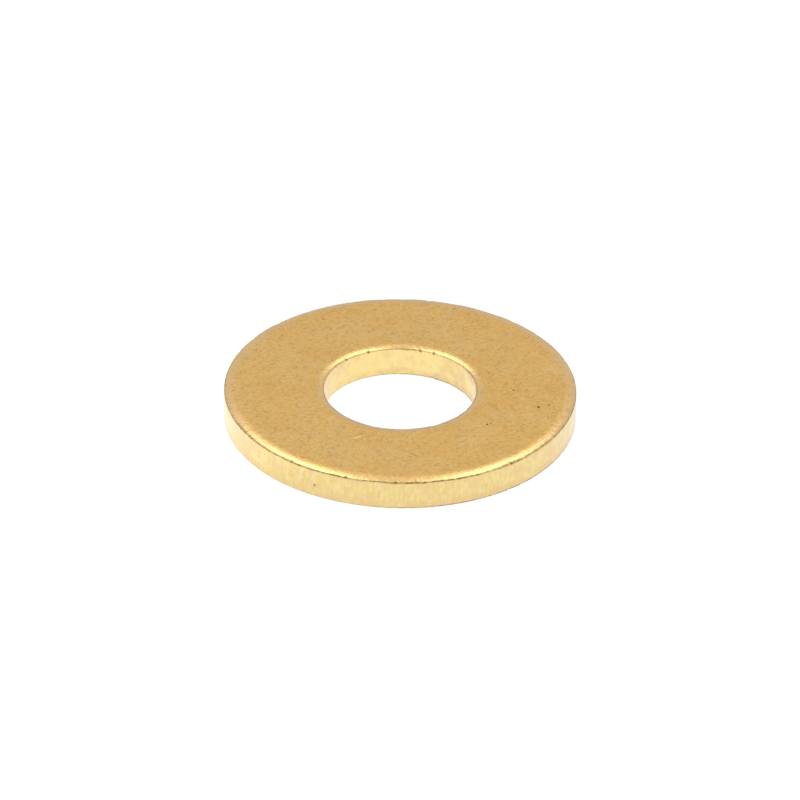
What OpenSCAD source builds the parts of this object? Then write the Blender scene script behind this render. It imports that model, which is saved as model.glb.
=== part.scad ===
// Flat washer: one ring blanked and pierced from brass sheet.
// The origin is at the middle of the underside, and +Z runs along the bore
// towards the punched face. Lengths are in millimetres.
//
// Blanking leaves the two edges of the punched face rounded over, a form called
// die roll, while both edges of the underside stay square.

/* [Ring] */
// Outside diameter
outer_d = 18.64; // [16:0.01:24]
// Bore diameter
bore_d = 8.05; // [6:0.01:10]
// Thickness of the sheet
sheet_t = 1.65; // [1:0.05:2.5]

/* [Rounded edges] */
// Width of the rounded band along the outer edge
rim_roll_w = 0.70; // [0.3:0.01:1]
// Drop of that band from the flat face to the outer wall
rim_roll_h = 0.08; // [0.04:0.01:0.3]
// Width of the rounded band along the bore's edge
lip_roll_w = 0.55; // [0.3:0.01:0.8]
// Drop of that band from the flat face to the bore's wall
lip_roll_h = 0.08; // [0.04:0.01:0.3]

/* [Hidden] */

outer_r = outer_d / 2;
bore_r = bore_d / 2;
ring_w = outer_r - bore_r;
// How far a cutter passes the surface that it cuts
over = 0.1;
// Steps in a full turn of the ring, and of the arc that rounds an edge
ring_steps = 240;
arc_steps = 360;
brass = [0.84, 0.68, 0.42];

// Radius of the arc that leaves the flat face smoothly and drops h over width w
function roll_radius(w, h) = (w * w + h * h) / (2 * h);

// What is taken off a square corner at the origin, whose material lies at -X and -Y,
// to leave an arc of width w and drop h
module roll_cutter(w, h) {
    r = roll_radius(w, h);
    translate([-w, -r]) {
        difference() {
            square([w + over, r + over]);
            circle(r = r, $fn = arc_steps);
        }
    }
}

// Section of the ring, from the bore's wall to the outer wall
module ring_section() {
    difference() {
        translate([bore_r, 0]) square([ring_w, sheet_t]);
        translate([outer_r, sheet_t]) roll_cutter(rim_roll_w, rim_roll_h);
        translate([bore_r, sheet_t]) mirror([1, 0]) roll_cutter(lip_roll_w, lip_roll_h);
    }
}

module washer() {
    color(brass) rotate_extrude($fn = ring_steps) ring_section();
}

washer();
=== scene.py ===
"""A stamped brass washer, modelled round the ring that the CAD frame holds.

The ring is one solid: a flat face with rounded edges, two sheared walls and a square-edged
underside. Lengths are in metres. +Z runs up through the bore, and the ring rests on Z = 0.
"""

import math

import bpy
from mathutils import Matrix, Quaternion, Vector


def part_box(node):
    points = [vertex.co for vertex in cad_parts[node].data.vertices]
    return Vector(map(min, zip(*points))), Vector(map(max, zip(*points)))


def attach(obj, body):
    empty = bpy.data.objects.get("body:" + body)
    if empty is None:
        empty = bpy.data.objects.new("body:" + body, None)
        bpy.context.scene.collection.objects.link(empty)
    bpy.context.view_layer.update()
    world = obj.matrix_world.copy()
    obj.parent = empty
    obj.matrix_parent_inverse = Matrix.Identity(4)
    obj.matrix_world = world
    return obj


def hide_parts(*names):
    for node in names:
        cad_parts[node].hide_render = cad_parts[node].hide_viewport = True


bl_info = {
    "name": "Stamped Brass Washer",
    "version": (1, 0, 0),
    "blender": (4, 5, 0),
    "location": "View3D > Sidebar > Washer",
    "description": "Makes a stamped brass washer round its measured ring, and a plain studio",
    "category": "Add Mesh",
}

NODE = "washer"
BODY = "root"
MM = 0.001
# Points of the CAD node closer than this are at the same height or radius
SAME_PLACE = 0.002 * MM

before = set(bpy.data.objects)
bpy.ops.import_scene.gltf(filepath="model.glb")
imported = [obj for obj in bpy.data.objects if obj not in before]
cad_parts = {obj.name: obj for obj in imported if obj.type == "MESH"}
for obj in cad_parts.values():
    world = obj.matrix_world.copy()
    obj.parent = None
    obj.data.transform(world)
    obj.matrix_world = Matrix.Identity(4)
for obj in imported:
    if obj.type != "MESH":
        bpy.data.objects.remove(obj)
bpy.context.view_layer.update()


def ring_sizes(node):
    """The sizes of a ring's section, read off a CAD node that stands round the Z axis."""
    low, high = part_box(node)
    points = [(math.hypot(v.co.x, v.co.y), v.co.z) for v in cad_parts[node].data.vertices]
    outer = max(r for r, z in points)
    bore = min(r for r, z in points)
    flat = [r for r, z in points if high.z - z < SAME_PLACE]
    return {
        "outer": outer,
        "bore": bore,
        "thickness": high.z - low.z,
        "rim_width": outer - max(flat),
        "rim_drop": high.z - max(z for r, z in points if outer - r < SAME_PLACE),
        "lip_width": min(flat) - bore,
        "lip_drop": high.z - max(z for r, z in points if r - bore < SAME_PLACE),
    }


RING = ring_sizes(NODE)
# Half way between the two walls, in millimetres
MID_RADIUS = 0.5 * (RING["outer"] + RING["bore"]) / MM


# ---------------------------------------------------------------- formulas as nodes


def plug(tree, socket, value):
    """Joins a field or a socket to an input, or sets the input's own value."""
    if isinstance(value, Field):
        tree.links.new(value.socket, socket)
    elif isinstance(value, bpy.types.NodeSocket):
        tree.links.new(value, socket)
    else:
        socket.default_value = value


def add_node(tree, kind, inputs=None, **settings):
    """Adds a node with its settings, and sets or joins its inputs by name or number."""
    node = tree.nodes.new(kind)
    for name, value in settings.items():
        setattr(node, name, value)
    for key, value in (inputs or {}).items():
        plug(tree, node.inputs[key], value)
    return node


class Field:
    """A number or vector of a node tree. Arithmetic on it adds the nodes that work it out."""

    def __init__(self, tree, socket):
        self.tree = tree
        self.socket = socket

    def math(self, operation, *others):
        """One Math node, with this field as its first input."""
        node = self.tree.nodes.new("ShaderNodeMath")
        node.operation = operation
        for socket, value in zip(node.inputs, (self, *others)):
            plug(self.tree, socket, value)
        return Field(self.tree, node.outputs[0])

    def __add__(self, other):
        return self.math("ADD", other)

    def __sub__(self, other):
        return self.math("SUBTRACT", other)

    def __mul__(self, other):
        return self.math("MULTIPLY", other)

    def __truediv__(self, other):
        return self.math("DIVIDE", other)

    def __neg__(self):
        return self.math("MULTIPLY", -1.0)

    def __rsub__(self, number):
        return self.math("MULTIPLY_ADD", -1.0, number)

    __radd__ = __add__
    __rmul__ = __mul__

    def ramp(self, start, end, low=0.0, high=1.0):
        """Goes smoothly from low to high while this field goes from start to end."""
        ends = {"Value": self, "From Min": start, "From Max": end, "To Min": low, "To Max": high}
        node = add_node(self.tree, "ShaderNodeMapRange", ends, interpolation_type="SMOOTHSTEP")
        return Field(self.tree, node.outputs[0])

    def noise(self, scale, detail=2.0, roughness=0.5, seed=0.0):
        """Noise from 0 to 1 at this place. The scale is in features per unit of the place."""
        inputs = {"Vector": self, "W": seed, "Scale": scale, "Detail": detail, "Roughness": roughness}
        node = add_node(self.tree, "ShaderNodeTexNoise", inputs, noise_dimensions="4D")
        return Field(self.tree, node.outputs[0])

    def stretched(self, x, y, z):
        """This vector with each of its three parts scaled."""
        node = add_node(self.tree, "ShaderNodeVectorMath", {0: self, 1: (x, y, z)}, operation="MULTIPLY")
        return Field(self.tree, node.outputs[0])

    def parts(self):
        """The three parts of this vector."""
        node = add_node(self.tree, "ShaderNodeSeparateXYZ", {0: self})
        return [Field(self.tree, socket) for socket in node.outputs]


def bell(field, middle, half_width):
    """1 where the field has the middle value, falling smoothly to 0 on both sides."""
    return (field - middle).math("ABSOLUTE").ramp(half_width, 0.0)


# ---------------------------------------------------------------- the ring's shape

# Steps along each stretch of the section, and round the ring
STEPS_ROUND = 960
STEPS_FACE = 22
STEPS_RIM_ROLL = 10
STEPS_LIP_ROLL = 6
STEPS_RIM_CORNER = 4
STEPS_LIP_CORNER = 3
STEPS_RIM_CREASE = 6
STEPS_LIP_CREASE = 5
STEPS_RIM_WALL = 18
STEPS_LIP_WALL = 12
STEPS_SQUARE_EDGE = 3
STEPS_UNDERSIDE = 12

# Height of the band below each rounded edge in which the steps are close together
CREASE_BAND = 0.1 * MM
# Points closer than this are welded
WELD = 0.001 * MM

RING_INPUTS = (
    ("Outer Radius", "NodeSocketFloat"),
    ("Bore Radius", "NodeSocketFloat"),
    ("Thickness", "NodeSocketFloat"),
    ("Rim Width", "NodeSocketFloat"),
    ("Rim Drop", "NodeSocketFloat"),
    ("Lip Width", "NodeSocketFloat"),
    ("Lip Drop", "NodeSocketFloat"),
    ("Corner Round", "NodeSocketFloat"),
    ("Square Edge Round", "NodeSocketFloat"),
    ("Crease Depth", "NodeSocketFloat"),
    ("Shear Mark Depth", "NodeSocketFloat"),
    ("Torn Height", "NodeSocketFloat"),
    ("Torn Depth", "NodeSocketFloat"),
    ("Face Wave", "NodeSocketFloat"),
    ("Dent Depth", "NodeSocketFloat"),
    ("Seed", "NodeSocketFloat"),
    ("Material", "NodeSocketMaterial"),
)

# Small dents in the edges and walls: angle round the ring in degrees from +X, where, and size in mm
DENTS = (
    (-127, "rim", 0.16),
    (-107, "rim", 0.14),
    (-91, "rim", 0.18),
    (-51, "rim", 0.20),
    (-29, "rim", 0.16),
    (20, "rim", 0.14),
    (81, "rim", 0.18),
    (148, "rim", 0.15),
    (-172, "rim", 0.17),
    (115, "lip", 0.14),
    (135, "lip", 0.12),
    (75, "lip", 0.14),
    (64, "lip", 0.12),
    (-30, "lip", 0.12),
    (-118, "wall", 0.14),
    (-52, "foot", 0.18),
    (-148, "foot", 0.14),
    (33, "foot", 0.16),
    (160, "foot", 0.15),
    (65, "bore foot", 0.16),
    (50, "bore foot", 0.18),
    (-120, "bore foot", 0.14),
)


def dent_centres():
    """A mesh of loose points, one in the middle of each dent, with the dents' sizes."""
    places = {
        "rim": (RING["outer"], RING["thickness"] - RING["rim_drop"]),
        "lip": (RING["bore"], RING["thickness"] - RING["lip_drop"]),
        "wall": (RING["outer"], 0.4 * RING["thickness"]),
        "foot": (RING["outer"], 0.0),
        "bore foot": (RING["bore"], 0.0),
    }
    points = []
    for degrees, place, size in DENTS:
        angle = math.radians(degrees)
        radius, height = places[place]
        points.append((radius * math.cos(angle), radius * math.sin(angle), height))
    mesh = bpy.data.meshes.new("dent_centres")
    mesh.from_pydata(points, [], [])
    sizes = mesh.attributes.new("dent_size", "FLOAT", "POINT")
    sizes.data.foreach_set("value", [size * MM for degrees, place, size in DENTS])
    return mesh


class SectionSweep:
    """Sweeps the stretches of a ring's section, drawn in radius and height, round the Z axis."""

    def __init__(self, tree, base_radius):
        self.tree = tree
        self.base_radius = base_radius
        circle = add_node(
            tree, "GeometryNodeCurvePrimitiveCircle", {"Resolution": STEPS_ROUND, "Radius": base_radius}
        )
        upright = add_node(tree, "GeometryNodeSetCurveNormal", {"Curve": circle.outputs[0]}, mode="Z_UP")
        self.path = upright.outputs[0]
        self.meshes = []

    def at(self, radius, height):
        """A place on the section, as the sweep needs it: measured out from the path and down."""
        place = {"X": radius - self.base_radius, "Y": -height, "Z": 0.0}
        return add_node(self.tree, "ShaderNodeCombineXYZ", place).outputs[0]

    def sweep(self, curve, sheared):
        """Sweeps a curve, and marks whether the surface was sheared by the press or is as rolled."""
        swept = add_node(
            self.tree, "GeometryNodeCurveToMesh", {"Curve": self.path, "Profile Curve": curve}
        )
        marked = add_node(
            self.tree,
            "GeometryNodeStoreNamedAttribute",
            {"Geometry": swept.outputs[0], "Name": "sheared", "Value": float(sheared)},
        )
        self.meshes.append(marked.outputs[0])

    def line(self, start, end, steps, sheared=False):
        """A straight stretch."""
        line = add_node(
            self.tree, "GeometryNodeCurvePrimitiveLine", {"Start": self.at(*start), "End": self.at(*end)}
        )
        cut = add_node(
            self.tree, "GeometryNodeResampleCurve", {"Curve": line.outputs[0], "Count": steps + 1}
        )
        self.sweep(cut.outputs[0], sheared)

    def bend(self, start, corner, end, steps, sheared=False):
        """A small round stretch in place of a corner."""
        curve = add_node(
            self.tree,
            "GeometryNodeCurveQuadraticBezier",
            {
                "Resolution": steps,
                "Start": self.at(*start),
                "Middle": self.at(*corner),
                "End": self.at(*end),
            },
        )
        self.sweep(curve.outputs[0], sheared)

    def arc(self, centre, radius, start, turn, steps):
        """An arc round a centre. The angles run from outwards to downwards, in radians."""
        arc = add_node(
            self.tree,
            "GeometryNodeCurveArc",
            {"Resolution": steps + 1, "Radius": radius, "Start Angle": start, "Sweep Angle": turn},
        )
        moved = add_node(
            self.tree, "GeometryNodeSetPosition", {"Geometry": arc.outputs[0], "Offset": self.at(*centre)}
        )
        self.sweep(moved.outputs[0], False)

    def welded(self):
        """All the stretches as one closed mesh."""
        joined = self.tree.nodes.new("GeometryNodeJoinGeometry")
        for mesh in self.meshes:
            self.tree.links.new(mesh, joined.inputs[0])
        weld = add_node(
            self.tree, "GeometryNodeMergeByDistance", {"Geometry": joined.outputs[0], "Distance": WELD}
        )
        return weld.outputs[0]


def roll_arc(width, drop, corner):
    """Radius of the arc that leaves a flat face smoothly and drops over a width, how far it turns
    before the corner's round begins, and how far it has dropped there."""
    radius = (width * width + drop * drop) / (drop * 2.0)
    turn = ((width - corner) / radius).math("ARCSINE")
    dropped = radius - radius * turn.math("COSINE")
    return radius, turn, dropped


def add_section(sweep, size):
    """Draws the whole section: over the face and rim, down, in underneath and up through the bore."""
    outer = size["Outer Radius"]
    bore = size["Bore Radius"]
    top = size["Thickness"]
    corner = size["Corner Round"]
    square = size["Square Edge Round"]
    rim_width = size["Rim Width"]
    lip_width = size["Lip Width"]
    rim_top = top - size["Rim Drop"]
    lip_top = top - size["Lip Drop"]
    rim_radius, rim_turn, rim_dropped = roll_arc(rim_width, size["Rim Drop"], corner)
    lip_radius, lip_turn, lip_dropped = roll_arc(lip_width, size["Lip Drop"], corner)
    up = -math.pi / 2
    sweep.line((bore + lip_width, top), (outer - rim_width, top), STEPS_FACE)
    sweep.arc((outer - rim_width, top - rim_radius), rim_radius, up, rim_turn, STEPS_RIM_ROLL)
    wall_top = rim_top - corner
    rim_end = (outer - corner, top - rim_dropped)
    sweep.bend(rim_end, (outer, rim_top), (outer, wall_top), STEPS_RIM_CORNER)
    crease_foot = wall_top - CREASE_BAND
    sweep.line((outer, wall_top), (outer, crease_foot), STEPS_RIM_CREASE, sheared=True)
    sweep.line((outer, crease_foot), (outer, square), STEPS_RIM_WALL, sheared=True)
    sweep.bend((outer, square), (outer, 0.0), (outer - square, 0.0), STEPS_SQUARE_EDGE, sheared=True)
    sweep.line((outer - square, 0.0), (bore + square, 0.0), STEPS_UNDERSIDE)
    sweep.bend((bore + square, 0.0), (bore, 0.0), (bore, square), STEPS_SQUARE_EDGE, sheared=True)
    wall_top = lip_top - corner
    crease_foot = wall_top - CREASE_BAND
    sweep.line((bore, square), (bore, crease_foot), STEPS_LIP_WALL, sheared=True)
    sweep.line((bore, crease_foot), (bore, wall_top), STEPS_LIP_CREASE, sheared=True)
    lip_end = (bore + corner, top - lip_dropped)
    sweep.bend((bore, wall_top), (bore, lip_top), lip_end, STEPS_LIP_CORNER)
    lip_middle = (bore + lip_width, top - lip_radius)
    sweep.arc(lip_middle, lip_radius, up - lip_turn, lip_turn, STEPS_LIP_ROLL)


def named(tree, name):
    """An attribute of the ring, as a field."""
    node = add_node(tree, "GeometryNodeInputNamedAttribute", {"Name": name}, data_type="FLOAT")
    return Field(tree, node.outputs["Attribute"])


def dent_field(tree, dents):
    """1 in the middle of each dent, falling to 0 at its ragged outline."""
    place = Field(tree, tree.nodes.new("GeometryNodeInputPosition").outputs[0])
    near = add_node(tree, "GeometryNodeProximity", {0: dents}, target_element="POINTS")
    nearest = add_node(tree, "GeometryNodeSampleNearest", {0: dents}, domain="POINT")
    size = add_node(
        tree,
        "GeometryNodeSampleIndex",
        {0: dents, 1: named(tree, "dent_size"), "Index": nearest.outputs[0]},
        data_type="FLOAT",
        domain="POINT",
    )
    ragged = place.stretched(1 / MM, 1 / MM, 1 / MM).noise(9.0, detail=1.0) + 0.5
    reach = Field(tree, near.outputs["Distance"]) * ragged / Field(tree, size.outputs[0])
    return reach.ramp(0.65, 0.25)


class RingPlace:
    """Where a point of the ring is, as fields: lengths in metres, apart from below, the distance
    under the rounded edge, and place_mm, which are in millimetres."""

    def __init__(self, tree, size):
        place = Field(tree, tree.nodes.new("GeometryNodeInputPosition").outputs[0])
        self.x, self.y, self.height = place.parts()
        self.radius = (self.x * self.x + self.y * self.y).math("SQRT")
        self.from_rim = size["Outer Radius"] - self.radius
        self.from_bore = self.radius - size["Bore Radius"]
        # 1 on the outer half of the ring and 0 on the inner half
        self.at_rim = self.from_rim.math("LESS_THAN", self.from_bore)
        drop = size["Lip Drop"] + self.at_rim * (size["Rim Drop"] - size["Lip Drop"])
        self.below = (size["Thickness"] - drop - size["Corner Round"] - self.height) / MM
        self.upper = self.height.ramp(0.5 * size["Thickness"], 0.9 * size["Thickness"])
        self.place_mm = place.stretched(1 / MM, 1 / MM, 1 / MM)


def creases(point, wander, seed):
    """The crease under each rounded edge and the line along the edge, as masks where shade is painted."""
    ragged = point.place_mm.stretched(1.0, 1.0, 0.5)
    ragged = ragged.noise(3.6, detail=3.0, roughness=0.7, seed=seed + 1.0)
    half_width = ragged.ramp(0.3, 0.7, 0.015, 0.045) * (1.0 + 0.45 * point.at_rim)
    crease = bell(point.below, wander.ramp(0.35, 0.65, -0.02, 0.03), half_width)
    crease = crease * ragged.ramp(0.25, 0.6, 0.4)
    # The painted shade is left off most of the bore's edge on its +Y side, apart from a short stretch
    # right of the middle
    right = point.x / point.radius
    back = point.y / point.radius
    unshaded = back.ramp(0.35, 0.6).math("MAXIMUM", right.ramp(0.1, -0.1) * back.ramp(0.1, 0.3))
    unshaded = unshaded * (1.0 - bell(right, 0.12, 0.15)) * (1.0 - point.at_rim)
    shown = 1.0 - 0.85 * unshaded
    faint = point.place_mm.noise(0.7, detail=2.0, seed=seed + 5.0).ramp(0.35, 0.6, 0.5)
    from_edge = point.from_rim.math("MINIMUM", point.from_bore) / MM
    crease = crease * from_edge.ramp(0.04, 0.02) * faint * shown
    edge = from_edge.ramp(0.08, 0.015) * point.below.ramp(0.06, 0.0) * shown
    return crease, edge


def press_depth(point, marks, size):
    """How deep the press, the tearing and later knocks have pushed each point in."""
    seed = size["Seed"]
    upright = point.place_mm.stretched(1.0, 1.0, 0.05)
    scored = upright.noise(4.0, detail=3.0, roughness=0.6, seed=seed + 2.0)
    lumps = point.place_mm.noise(5.0, detail=2.0, seed=seed + 3.0)
    swell = point.place_mm.noise(0.35, detail=1.0, seed=seed + 4.0)
    depth = marks["sheared"] * (1.0 - marks["torn"]) * scored * size["Shear Mark Depth"]
    depth = depth + marks["torn"] * lumps * size["Torn Depth"]
    depth = depth + marks["crease"] * size["Crease Depth"]
    depth = depth + marks["dent"] * size["Dent Depth"]
    return depth + (1.0 - marks["sheared"]) * point.upper * swell * size["Face Wave"]


def press_surface(tree, mesh, dents, size):
    """Presses shear marks, the torn foot of each wall, the creases and the dents into the ring,
    and stores where they are, for the material."""
    point = RingPlace(tree, size)
    seed = size["Seed"]
    sheared = named(tree, "sheared")
    rolled = (point.from_rim / size["Rim Width"]).math("MINIMUM", point.from_bore / size["Lip Width"])
    wander = point.place_mm.noise(0.9, detail=3.0, seed=seed)
    crease, edge = creases(point, wander, seed)
    torn_top = size["Torn Height"] * (wander + 0.5)
    marks = {
        "rolled": rolled.ramp(1.0, 0.2) * point.upper * (1.0 - sheared),
        # The crease and edge masks place painted shade in the material; the crease is also pressed in
        "crease": crease,
        "edge": edge,
        "torn": ((point.height - torn_top) / MM).ramp(0.08, -0.08) * sheared,
        "dent": dent_field(tree, dents),
    }
    for name, field in marks.items():
        inputs = {"Geometry": mesh, "Name": name, "Value": field}
        mesh = add_node(tree, "GeometryNodeStoreNamedAttribute", inputs).outputs[0]
    depth = press_depth(point, {**marks, "sheared": sheared}, size)
    normal = tree.nodes.new("GeometryNodeInputNormal").outputs[0]
    inward = add_node(tree, "ShaderNodeVectorMath", {0: normal, "Scale": -depth}, operation="SCALE")
    moved = {"Geometry": mesh, "Offset": inward.outputs[0]}
    return add_node(tree, "GeometryNodeSetPosition", moved).outputs[0]


def ring_tree():
    """The node tree that makes the ring. What it is given is the dents' centres."""
    tree = bpy.data.node_groups.new("stamped_ring", "GeometryNodeTree")
    tree.interface.new_socket("Dents", in_out="INPUT", socket_type="NodeSocketGeometry")
    for name, kind in RING_INPUTS:
        tree.interface.new_socket(name, in_out="INPUT", socket_type=kind)
    tree.interface.new_socket("Ring", in_out="OUTPUT", socket_type="NodeSocketGeometry")
    given = tree.nodes.new("NodeGroupInput").outputs
    size = {name: Field(tree, given[name]) for name, kind in RING_INPUTS}
    sweep = SectionSweep(tree, size["Bore Radius"])
    add_section(sweep, size)
    mesh = press_surface(tree, sweep.welded(), given["Dents"], size)
    smooth = add_node(tree, "GeometryNodeSetShadeSmooth", {0: mesh})
    real = add_node(tree, "GeometryNodeRealizeInstances", {0: smooth.outputs[0]})
    faced = add_node(
        tree, "GeometryNodeSetMaterial", {"Geometry": real.outputs[0], "Material": given["Material"]}
    )
    add_node(tree, "NodeGroupOutput", {0: faced.outputs[0]})
    return tree


def made_by(tree, start, values, name):
    """The plain mesh that a node tree makes of a start mesh, given its inputs by name."""
    maker = bpy.data.objects.new(name + "_maker", start)
    bpy.context.scene.collection.objects.link(maker)
    modifier = maker.modifiers.new(tree.name, "NODES")
    modifier.node_group = tree
    for item in tree.interface.items_tree:
        if item.name in values:
            modifier[item.identifier] = values[item.name]
    depsgraph = bpy.context.evaluated_depsgraph_get()
    mesh = bpy.data.meshes.new_from_object(maker.evaluated_get(depsgraph))
    mesh.name = name
    bpy.data.objects.remove(maker)
    bpy.data.meshes.remove(start)
    return mesh


# ---------------------------------------------------------------- the brass

# Small pits in the face: angle round the ring in degrees from +X, radius and half width in mm, and
# how dark each is, from 0 to 1
PITS = (
    (-13.4, 7.5, 0.10, 1.0),
    (-11.0, 8.0, 0.08, 0.8),
    (-0.7, 6.0, 0.09, 0.8),
    (-36.0, 5.9, 0.06, 0.9),
    (-37.7, 5.8, 0.08, 1.0),
    (19.4, 5.0, 0.08, 0.6),
    (0.0, 6.7, 0.08, 0.4),
    (-18.0, 6.3, 0.09, 0.4),
    (5.5, 5.6, 0.12, 0.35),
    (106.8, 5.9, 0.12, 0.35),
    (141.0, 8.2, 0.10, 0.4),
    (121.0, 8.1, 0.09, 0.4),
    (155.0, 8.5, 0.09, 0.4),
    (35.0, 7.3, 0.10, 0.3),
    (-119.0, 7.5, 0.10, 0.35),
    (71.0, 8.7, 0.09, 0.4),
    (126.0, 5.3, 0.16, 0.25),
    (-75.0, 7.9, 0.08, 0.3),
)
# A pit is this many times as long along Y as it is along X
PIT_LENGTH = 1.4
# The scratch in the face: angle in degrees from +X, radius, half its length and half its width in
# mm, and its own direction in degrees
SCRATCH = (-113.5, 5.5, 0.36, 0.11, 25)


def mixed(tree, share, first, second):
    """A colour between two others."""
    node = add_node(tree, "ShaderNodeMix", {0: share}, data_type="RGBA")
    for socket, colour in ((node.inputs[6], first), (node.inputs[7], second)):
        plug(tree, socket, colour if isinstance(colour, Field) else (*colour, 1.0))
    return Field(tree, node.outputs[2])


def mark(tree, name):
    """An attribute that the ring's tree stored, as a field of a material."""
    node = add_node(tree, "ShaderNodeAttribute", attribute_name=name, attribute_type="GEOMETRY")
    return Field(tree, node.outputs["Fac"])


def pit_field(place_mm):
    """1 in the middle of each pit of the face, falling to 0 at its outline."""
    x, y, height = place_mm.parts()
    above = height.ramp(0.5, 1.0)
    found = None
    for degrees, radius, size, dark in PITS:
        angle = math.radians(degrees)
        across = (x - radius * math.cos(angle)) * PIT_LENGTH
        along = y - radius * math.sin(angle)
        pit = (across * across + along * along).math("SQRT").ramp(1.3 * size, 0.7 * size, 0.0, dark)
        found = pit if found is None else found.math("MAXIMUM", pit)
    return found * above


def scratch_field(place_mm):
    """1 along the scratch in the face, falling to 0 beside it."""
    x, y, height = place_mm.parts()
    degrees, radius, half_length, half_width, lean = SCRATCH
    angle = math.radians(degrees)
    turn = math.radians(lean)
    from_x = x - radius * math.cos(angle)
    from_y = y - radius * math.sin(angle)
    along = from_x * math.cos(turn) + from_y * math.sin(turn)
    across = from_y * math.cos(turn) - from_x * math.sin(turn)
    return bell(along, 0.0, half_length) * bell(across, 0.0, half_width) * height.ramp(0.5, 1.0)


class BrassTexture:
    """The noises, places and marks that the brass is coloured by, as fields of its material."""

    def __init__(self, tree):
        self.tree = tree
        coordinates = tree.nodes.new("ShaderNodeTexCoord").outputs["Object"]
        place = Field(tree, coordinates).stretched(1 / MM, 1 / MM, 1 / MM)
        self.sheared = mark(tree, "sheared")
        self.torn = mark(tree, "torn")
        self.crease = mark(tree, "crease")
        self.rolled = mark(tree, "rolled")
        self.dent = mark(tree, "dent")
        self.edge = mark(tree, "edge")
        self.pit = pit_field(place)
        self.scratch = scratch_field(place)
        self.clouds = place.noise(0.5, detail=2.0, seed=3.0)
        self.hues = place.noise(1.3, detail=3.0, roughness=0.6, seed=5.0)
        self.grain = place.noise(5.5, detail=2.0, roughness=0.6, seed=7.0)
        upright = place.stretched(1.0, 1.0, 0.3)
        self.streaks = upright.noise(6.0, detail=3.0, roughness=0.7, seed=9.0)
        upright = place.stretched(1.0, 1.0, 0.7)
        self.flakes = upright.noise(3.0, detail=3.0, roughness=0.65, seed=11.0)
        self.specks = place.noise(6.0, detail=2.0, roughness=0.5, seed=13.0)
        x, y, height = place.parts()
        # 1 on the bore's side of the ring, and 1 on the part of that side that lies towards -Y
        self.inner = (x * x + y * y).math("SQRT").ramp(MID_RADIUS + 0.1, MID_RADIUS - 0.1)
        self.near_bore = self.inner * y.ramp(-0.5, -2.0)
        # The ring is more torn at its right, and its foot gets a painted contact shadow, darker there
        self.right = x.ramp(-4.0, 3.0, 0.25)
        self.foot = height.ramp(0.1, 0.04) * self.flakes.ramp(0.35, 0.6, 0.3) * self.right

    def face_colour(self, finish):
        """The mottled colour of the faces and the rolled edges."""
        tree = self.tree
        grain = self.grain
        face = mixed(tree, self.clouds.ramp(0.38, 0.62), finish.face_colour, finish.warm_colour)
        face = mixed(tree, self.hues.ramp(0.45, 0.7, 0.0, 0.8), face, finish.yellow_colour)
        face = mixed(tree, grain.ramp(0.5, 0.3), face, finish.dull_colour)
        face = mixed(tree, grain.ramp(0.52, 0.72, 0.0, 0.6), face, finish.rolled_colour)
        return mixed(tree, self.rolled * grain.ramp(0.2, 0.6, 0.4, 0.9), face, finish.rolled_colour)

    def wall_colour(self, finish):
        """The streaked and flaked colour of the walls, rougher and redder where they are torn."""
        tree = self.tree
        streaks = self.streaks.ramp(0.3, 0.7) * (1.0 - 0.5 * self.inner)
        tears = self.torn * self.right * self.flakes.ramp(0.55, 0.35, 0.3, 0.9)
        wall = mixed(tree, self.inner, finish.sheared_colour, finish.bore_colour)
        wall = mixed(tree, streaks, wall, finish.streak_colour)
        wall = mixed(tree, self.flakes.ramp(0.5, 0.7, 0.0, 0.45), wall, finish.flake_colour)
        wall = mixed(tree, self.hues.ramp(0.55, 0.35, 0.0, 0.65), wall, finish.torn_colour)
        return mixed(tree, tears, wall, finish.torn_colour)

    def grime_and_shade(self):
        """How dark each point is: painted shade in the creases, along the edges and at the walls' foot,
        and dark marks in dents and pits and as specks.
        """
        # Painted shade along the rounded edges, darker still along the bore's near side
        edge_shade = self.edge * (self.specks.ramp(0.45, 0.68, 0.15, 0.95) + self.near_bore * 0.4)
        # Painted shade in the creases, broken up by the grain
        grime_and_shade = self.crease * self.grain.ramp(0.3, 0.55, 0.5, 1.0)
        grime_and_shade = grime_and_shade.math("MAXIMUM", self.dent * 0.9).math("MAXIMUM", self.pit)
        grime_and_shade = grime_and_shade.math("MAXIMUM", edge_shade).math("MAXIMUM", self.foot * 0.85)
        return grime_and_shade.math("MAXIMUM", self.specks.ramp(0.7, 0.76) * self.sheared * 0.5)

    def roughness(self, grime_and_shade):
        """Satin faces, smoother rolled edges and rougher walls."""
        roughness = self.hues.ramp(0.3, 0.7, 0.25, 0.29)
        roughness = roughness + self.rolled * (0.19 - roughness)
        roughness = roughness + self.sheared * (self.streaks.ramp(0.3, 0.7, 0.26, 0.38) - roughness)
        return roughness + self.torn * 0.12 + grime_and_shade * 0.2

    def relief(self):
        """Height of the finest grain, in millimetres, which is too fine for the mesh."""
        relief = (self.grain * 0.006 + self.hues * 0.01) * (1.0 - self.sheared)
        relief = relief + self.streaks * 0.005 * self.sheared * (1.0 - self.torn)
        return relief + self.flakes * 0.02 * self.torn - self.pit * 0.008


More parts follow.
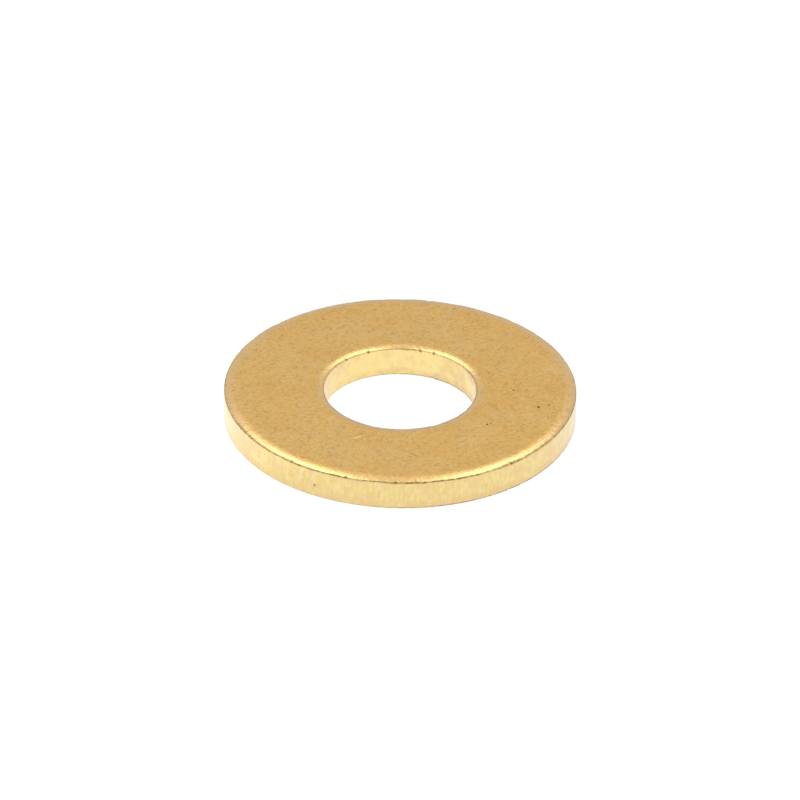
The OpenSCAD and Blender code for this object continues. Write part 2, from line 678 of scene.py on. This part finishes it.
def brass_material(finish):
    """Tumbled brass: matt faces with a mottled tone, brighter rolled edges and pale walls."""
    material = bpy.data.materials.new("tumbled_brass")
    material.use_nodes = True
    tree = material.node_tree
    tree.nodes.clear()
    texture = BrassTexture(tree)
    grime_and_shade = texture.grime_and_shade()
    colour = mixed(tree, texture.sheared, texture.face_colour(finish), texture.wall_colour(finish))
    colour = mixed(tree, texture.scratch, colour, finish.scratch_colour)
    # The dark colour paints shade in the creases, along the edges and at the walls' foot, and darkens
    # pits, dents and specks
    colour = mixed(tree, grime_and_shade, colour, finish.grime_and_shade_colour)
    bump = {"Height": texture.relief(), "Distance": MM, "Strength": 1.0}
    inputs = {
        "Base Color": colour,
        "Metallic": 1.0,
        "Roughness": texture.roughness(grime_and_shade),
        "Coat Weight": 0.7,
        "Coat Roughness": 0.25,
        "Normal": add_node(tree, "ShaderNodeBump", bump).outputs[0],
    }
    shader = add_node(tree, "ShaderNodeBsdfPrincipled", inputs)
    add_node(tree, "ShaderNodeOutputMaterial", {"Surface": shader.outputs[0]})
    return material


# ---------------------------------------------------------------- the studio

# Soft boxes round the ring: azimuth, from +Y towards +X, and elevation in degrees, width and height
# in metres, and the lean in degrees, clockwise as seen from the ring
SOFT_BOXES = (
    ("left_box", -14.0, 51.2, 0.062, 0.155, -8),
    ("right_box", 12.2, 50.9, 0.056, 0.155, 8),
    ("far_left_box", -57, 48, 0.06, 0.165, 0),
    ("far_right_box", 57, 48, 0.06, 0.165, 0),
    ("front_left_box", -135, 42, 0.09, 0.165, 0),
    ("front_right_box", 135, 42, 0.09, 0.165, 0),
)
# How far each box stands from the ring
BOX_DISTANCE = 0.4
# Half the side of the square floor
FLOOR_HALF = 2.0
# The floor lies this far under the ring, so that the two surfaces don't coincide
FLOOR_GAP = 0.01 * MM
# The floor's glow rises to its left glow between these places along X
GLOW_START = -5.0 * MM
GLOW_END = -10.0 * MM


def floor_material(studio):
    """A pale matt floor that glows like a lit table, and a little more at its left."""
    material = bpy.data.materials.new("pale_floor")
    material.use_nodes = True
    tree = material.node_tree
    shader = tree.nodes["Principled BSDF"]
    shader.inputs["Base Color"].default_value = (*studio.floor_colour, 1.0)
    shader.inputs["Roughness"].default_value = 0.9
    shader.inputs["Emission Color"].default_value = (1.0, 1.0, 1.0, 1.0)
    place = Field(tree, tree.nodes.new("ShaderNodeTexCoord").outputs["Object"])
    glow = place.parts()[0].ramp(GLOW_START, GLOW_END, studio.floor_glow, studio.left_glow)
    plug(tree, shader.inputs["Emission Strength"], glow)
    return material


def add_floor(studio):
    """A plain square floor under the ring."""
    mesh = bpy.data.meshes.new("floor")
    signs = ((-1, -1), (1, -1), (1, 1), (-1, 1))
    corners = [(x * FLOOR_HALF, y * FLOOR_HALF, -FLOOR_GAP) for x, y in signs]
    mesh.from_pydata(corners, [], [(0, 1, 2, 3)])
    mesh.materials.append(floor_material(studio))
    floor = bpy.data.objects.new("floor", mesh)
    bpy.context.scene.collection.objects.link(floor)


def direction(azimuth, elevation):
    """The unit vector towards a place in the studio. Azimuth runs from +Y towards +X."""
    level = math.cos(elevation)
    return Vector((math.sin(azimuth) * level, math.cos(azimuth) * level, math.sin(elevation)))


def add_soft_box(name, azimuth, elevation, width, height, lean, radiance):
    """A rectangular light that faces the ring."""
    light = bpy.data.lights.new(name, "AREA")
    light.shape = "RECTANGLE"
    light.size = width
    light.size_y = height
    light.energy = radiance * math.pi * width * height
    box = bpy.data.objects.new(name, light)
    away = direction(math.radians(azimuth), math.radians(elevation))
    box.location = away * BOX_DISTANCE
    box.rotation_mode = "QUATERNION"
    facing = away.to_track_quat("Z", "Y")
    box.rotation_quaternion = facing @ Quaternion((0.0, 0.0, 1.0), math.radians(lean))
    bpy.context.scene.collection.objects.link(box)


def light_tent(studio):
    """The even light of a white tent: brightest at the horizon, dimmer overhead and low at the back."""
    world = bpy.data.worlds.new("light_tent")
    world.use_nodes = True
    tree = world.node_tree
    background = tree.nodes["Background"]
    background.inputs["Color"].default_value = (1.0, 1.0, 1.0, 1.0)
    towards = Field(tree, tree.nodes.new("ShaderNodeTexCoord").outputs["Generated"])
    back, up = towards.parts()[1:]
    shaded = back.ramp(0.5, 0.9) * up.ramp(0.02, 0.08) * up.ramp(0.3, 0.12)
    brightness = up.ramp(0.02, 0.1, studio.horizon_light, studio.tent_light)
    brightness = brightness - up.ramp(0.55, 0.75, 0.0, studio.tent_light - studio.roof_light)
    brightness = brightness - shaded * (studio.tent_light - studio.low_light)
    plug(tree, background.inputs["Strength"], brightness)
    bpy.context.scene.world = world


def add_camera(studio):
    """A long lens that looks down at the ring along +Y."""
    camera = bpy.data.cameras.new("camera")
    camera.lens = studio.lens
    camera.clip_start = 0.01
    camera.clip_end = 10.0
    holder = bpy.data.objects.new("camera", camera)
    away = direction(math.pi, studio.elevation)
    aim = Vector((0.0, 0.0, studio.aim_height))
    turn = (-away).to_track_quat("-Z", "Y").to_matrix() @ Matrix.Rotation(studio.tilt, 3, "Z")
    holder.matrix_world = Matrix.Translation(aim + away * studio.distance) @ turn.to_4x4()
    bpy.context.scene.collection.objects.link(holder)
    bpy.context.scene.camera = holder


# ---------------------------------------------------------------- the add-on


def length_setting(name, description, default):
    """A property that holds a length."""
    return bpy.props.FloatProperty(
        name=name, description=description, default=default, subtype="DISTANCE", unit="LENGTH", precision=5
    )


def angle_setting(name, description, degrees):
    """A property that holds an angle."""
    return bpy.props.FloatProperty(
        name=name, description=description, default=math.radians(degrees), subtype="ANGLE"
    )


def level_setting(name, description, default):
    """A property that holds a brightness."""
    return bpy.props.FloatProperty(name=name, description=description, default=default, min=0.0)


def colour_setting(name, description, default):
    """A property that holds a colour."""
    return bpy.props.FloatVectorProperty(
        name=name, description=description, default=default, subtype="COLOR", min=0.0, max=1.0
    )


class WasherShape(bpy.types.PropertyGroup):
    """Sizes of the ring's fine shape. The ring's own sizes are the frame's."""

    corner_round: length_setting("Corner Round", "Round between a rolled edge and its wall", 0.018 * MM)
    square_round: length_setting("Square Edge Round", "Round along the underside's edges", 0.03 * MM)
    crease_depth: length_setting("Crease Depth", "Depth of the crease under each rolled edge", 0.02 * MM)
    shear_depth: length_setting("Shear Mark Depth", "Depth of the upright marks in the walls", 0.008 * MM)
    torn_height: length_setting("Torn Height", "Height of the torn band at a wall's foot", 0.4 * MM)
    torn_depth: length_setting("Torn Depth", "Depth of the torn band's hollows", 0.02 * MM)
    face_wave: length_setting("Face Wave", "Depth of the slow waves in the face", 0.008 * MM)
    dent_depth: length_setting("Dent Depth", "Depth of the dents in the edges", 0.03 * MM)
    seed: bpy.props.FloatProperty(name="Seed", description="Picks the pattern of marks", default=4.0)


class WasherFinish(bpy.types.PropertyGroup):
    """Colours of the brass."""

    face_colour: colour_setting("Faces", "Brass of the flat faces", (0.80, 0.492, 0.13))
    warm_colour: colour_setting("Warm Patches", "Warmer patches of the faces", (0.795, 0.45, 0.088))
    yellow_colour: colour_setting("Ochre Patches", "More golden patches of the faces", (0.80, 0.46, 0.085))
    dull_colour: colour_setting("Dull Grain", "Duller grain of the faces", (0.64, 0.355, 0.075))
    rolled_colour: colour_setting("Rolled Edges", "Brass of the rolled edges", (0.86, 0.572, 0.24))
    scratch_colour: colour_setting("Scratch", "The bright scratch in the face", (1.0, 0.77, 0.37))
    sheared_colour: colour_setting("Sheared Walls", "Fresh brass of the walls", (0.78, 0.575, 0.20))
    streak_colour: colour_setting("Wall Streaks", "Streaks in the walls", (0.90, 0.71, 0.305))
    bore_colour: colour_setting("Bore Wall", "What the bore's wall is tinted with", (0.99, 0.765, 0.31))
    flake_colour: colour_setting("Flakes", "Pale flakes and scratches", (0.92, 0.80, 0.50))
    torn_colour: colour_setting("Torn Band", "Rough brass at a wall's foot", (0.80, 0.56, 0.27))
    # Dark colour of the painted shade in creases, along edges and at the walls' foot, and of pits, dents
    # and specks
    grime_and_shade_colour: colour_setting("Grime", "What sits in creases and pits", (0.10, 0.058, 0.003))


class WasherStudio(bpy.types.PropertyGroup):
    """Camera, lights and floor."""

    elevation: angle_setting("Elevation", "How far the camera looks down", 31.55)
    tilt: angle_setting("Tilt", "Turn of the camera round its line of sight", 0.9)
    distance: length_setting("Distance", "From the camera to the ring", 0.341)
    lens: bpy.props.FloatProperty(name="Lens", description="Focal length in millimetres", default=290.0)
    aim_height: length_setting("Aim Height", "Height of the point that the camera looks at", 0.87 * MM)
    box_light: level_setting("Box Light", "Brightness of the soft boxes", 1.86)
    low_light: level_setting("Low Light", "Brightness of the tent low at the back", 0.5)
    tent_light: level_setting("Tent Light", "Brightness of the tent half way up", 0.735)
    roof_light: level_setting("Roof Light", "Brightness of the tent overhead", 0.68)
    horizon_light: level_setting("Horizon Light", "Brightness of the tent at the horizon", 1.05)
    floor_glow: level_setting("Floor Glow", "The floor's own light", 0.93)
    left_glow: level_setting("Left Glow", "The floor's own light at the left", 1.1)
    floor_colour: colour_setting("Floor", "Colour of the floor", (0.12, 0.12, 0.12))


class WASHER_OT_ring(bpy.types.Operator):
    """Make the stamped brass ring in place of the plain one"""

    bl_idname = "washer.ring"
    bl_label = "Washer Ring"

    def execute(self, context):
        shape = context.scene.washer_shape
        finish = context.scene.washer_finish
        values = {
            "Outer Radius": RING["outer"],
            "Bore Radius": RING["bore"],
            "Thickness": RING["thickness"],
            "Rim Width": RING["rim_width"],
            "Rim Drop": RING["rim_drop"],
            "Lip Width": RING["lip_width"],
            "Lip Drop": RING["lip_drop"],
            "Corner Round": shape.corner_round,
            "Square Edge Round": shape.square_round,
            "Crease Depth": shape.crease_depth,
            "Shear Mark Depth": shape.shear_depth,
            "Torn Height": shape.torn_height,
            "Torn Depth": shape.torn_depth,
            "Face Wave": shape.face_wave,
            "Dent Depth": shape.dent_depth,
            "Seed": shape.seed,
            "Material": brass_material(finish),
        }
        mesh = made_by(ring_tree(), dent_centres(), values, "stamped_ring")
        if not mesh.polygons:
            raise RuntimeError("the ring came out empty")
        ring = bpy.data.objects.new("stamped_ring", mesh)
        context.scene.collection.objects.link(ring)
        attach(ring, BODY)
        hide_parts(NODE)
        return {"FINISHED"}


class WASHER_OT_studio(bpy.types.Operator):
    """Make the floor, the lights and the camera"""

    bl_idname = "washer.studio"
    bl_label = "Studio"

    def execute(self, context):
        studio = context.scene.washer_studio
        add_floor(studio)
        light_tent(studio)
        for box in SOFT_BOXES:
            add_soft_box(*box, studio.box_light)
        add_camera(studio)
        context.scene.view_settings.view_transform = "Standard"
        return {"FINISHED"}


class VIEW3D_PT_washer(bpy.types.Panel):
    """The washer's tools and settings"""

    bl_label = "Washer"
    bl_space_type = "VIEW_3D"
    bl_region_type = "UI"
    bl_category = "Washer"

    def draw(self, context):
        for operator in OPERATORS:
            self.layout.operator(operator.bl_idname)
        for name, group in GROUPS.items():
            box = self.layout.box()
            for key in group.__annotations__:
                box.prop(getattr(context.scene, name), key)


GROUPS = {"washer_shape": WasherShape, "washer_finish": WasherFinish, "washer_studio": WasherStudio}
OPERATORS = (WASHER_OT_ring, WASHER_OT_studio)
CLASSES = (*GROUPS.values(), *OPERATORS, VIEW3D_PT_washer)


def register():
    """Registers the classes and gives the scene their settings."""
    for cls in CLASSES:
        bpy.utils.register_class(cls)
    for name, group in GROUPS.items():
        setattr(bpy.types.Scene, name, bpy.props.PointerProperty(type=group))


def unregister():
    """Takes the settings and the classes away again."""
    for name in GROUPS:
        delattr(bpy.types.Scene, name)
    for cls in reversed(CLASSES):
        bpy.utils.unregister_class(cls)


def main():
    """Makes the ring and its studio."""
    register()
    bpy.ops.washer.ring()
    bpy.ops.washer.studio()


if __name__ == "__main__":
    main()
